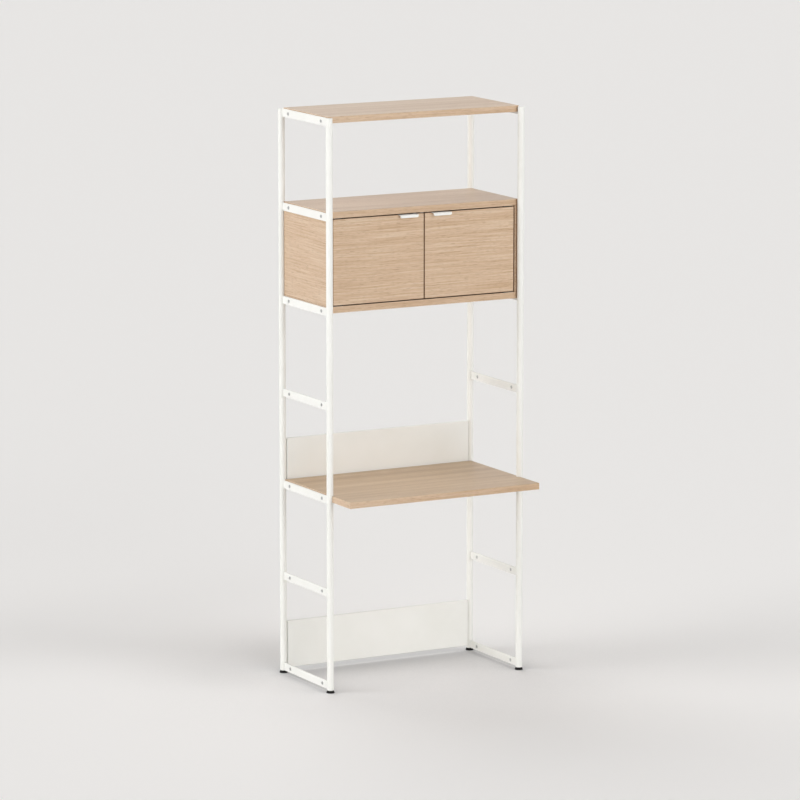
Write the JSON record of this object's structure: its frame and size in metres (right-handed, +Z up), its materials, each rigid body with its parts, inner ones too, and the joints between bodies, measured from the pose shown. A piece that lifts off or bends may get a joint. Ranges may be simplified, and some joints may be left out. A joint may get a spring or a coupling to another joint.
{
  "type": "shelving unit with desk",
  "caption": "Tall open shelving unit on tubular ladder frames, with a top shelf, a cabinet with doors, a deep desk board and sheet-steel back panels.",
  "frame": {"origin": "on the floor, at the middle of the unit's footprint", "axes": "+Z up, +Y from the desk's front towards the wall, +X to the right seen from the front"},
  "size_m": [0.835, 0.548, 2.144],
  "materials": {
    "white_powder_coat": "matt",
    "oak_veneer": "matt lacquer",
    "black_nylon": "matt",
    "zinc_steel": "zinc plated",
    "blackened_steel": "black oxide",
    "white_plastic": "matt",
    "grey_nylon": "matt",
    "ferrite": "matt",
    "beech": "raw"
  },
  "bodies": {
    "frame": {"left_front_upright": "white_powder_coat", "left_rear_upright": "white_powder_coat", "right_front_upright": "white_powder_coat", "right_rear_upright": "white_powder_coat", "left_rung_1": "white_powder_coat", "left_rung_2": "white_powder_coat", "left_rung_3": "white_powder_coat", "left_rung_4": "white_powder_coat", "left_rung_5": "white_powder_coat", "left_rung_6": "white_powder_coat", "left_rung_7": "white_powder_coat", "right_rung_1": "white_powder_coat", "right_rung_2": "white_powder_coat", "right_rung_3": "white_powder_coat", "right_rung_4": "white_powder_coat", "right_rung_5": "white_powder_coat", "right_rung_6": "white_powder_coat", "right_rung_7": "white_powder_coat", "upper_back_panel": "white_powder_coat", "lower_back_panel": "white_powder_coat", "top_shelf": "oak_veneer", "cabinet_top": "oak_veneer", "cabinet_floor": "oak_veneer", "desk_top": "oak_veneer", "cabinet_back": "oak_veneer", "cabinet_left_side": "oak_veneer", "cabinet_right_side": "oak_veneer", "shelf_bolts": "zinc_steel", "foot_inserts": "zinc_steel", "board_connectors": "zinc_steel", "upright_caps": "white_plastic", "catch_body": "white_plastic", "pivot_blocks": "grey_nylon", "catch_magnets": "ferrite", "cabinet_tongues": "beech"},
    "left_door": {"left_door_panel": "oak_veneer", "left_door_pull": "white_powder_coat", "left_door_pivots": "blackened_steel", "left_door_strike": "zinc_steel"},
    "right_door": {"right_door_panel": "oak_veneer", "right_door_pull": "white_powder_coat", "right_door_pivots": "blackened_steel", "right_door_strike": "zinc_steel"},
    "left_front_foot": {"left_front_foot": "black_nylon"},
    "left_rear_foot": {"left_rear_foot": "black_nylon"},
    "right_front_foot": {"right_front_foot": "black_nylon"},
    "right_rear_foot": {"right_rear_foot": "black_nylon"}
  },
  "joints": [
    {"name": "left_door_hinge", "type": "hinge", "parent": "frame", "child": "left_door", "pos_m": [-0.368, -0.099, 1.607], "axis": [0, 0, -1], "range_deg": [0, 105]},
    {"name": "right_door_hinge", "type": "hinge", "parent": "frame", "child": "right_door", "pos_m": [0.368, -0.099, 1.607], "axis": [0, 0, 1], "range_deg": [0, 105]},
    {"name": "left_front_foot_screw", "type": "slide", "parent": "frame", "child": "left_front_foot", "axis": [0, 0, -1], "range_m": [0, 0.01]},
    {"name": "left_rear_foot_screw", "type": "slide", "parent": "frame", "child": "left_rear_foot", "axis": [0, 0, -1], "range_m": [0, 0.01]},
    {"name": "right_front_foot_screw", "type": "slide", "parent": "frame", "child": "right_front_foot", "axis": [0, 0, -1], "range_m": [0, 0.01]},
    {"name": "right_rear_foot_screw", "type": "slide", "parent": "frame", "child": "right_rear_foot", "axis": [0, 0, -1], "range_m": [0, 0.01]}
  ]
}
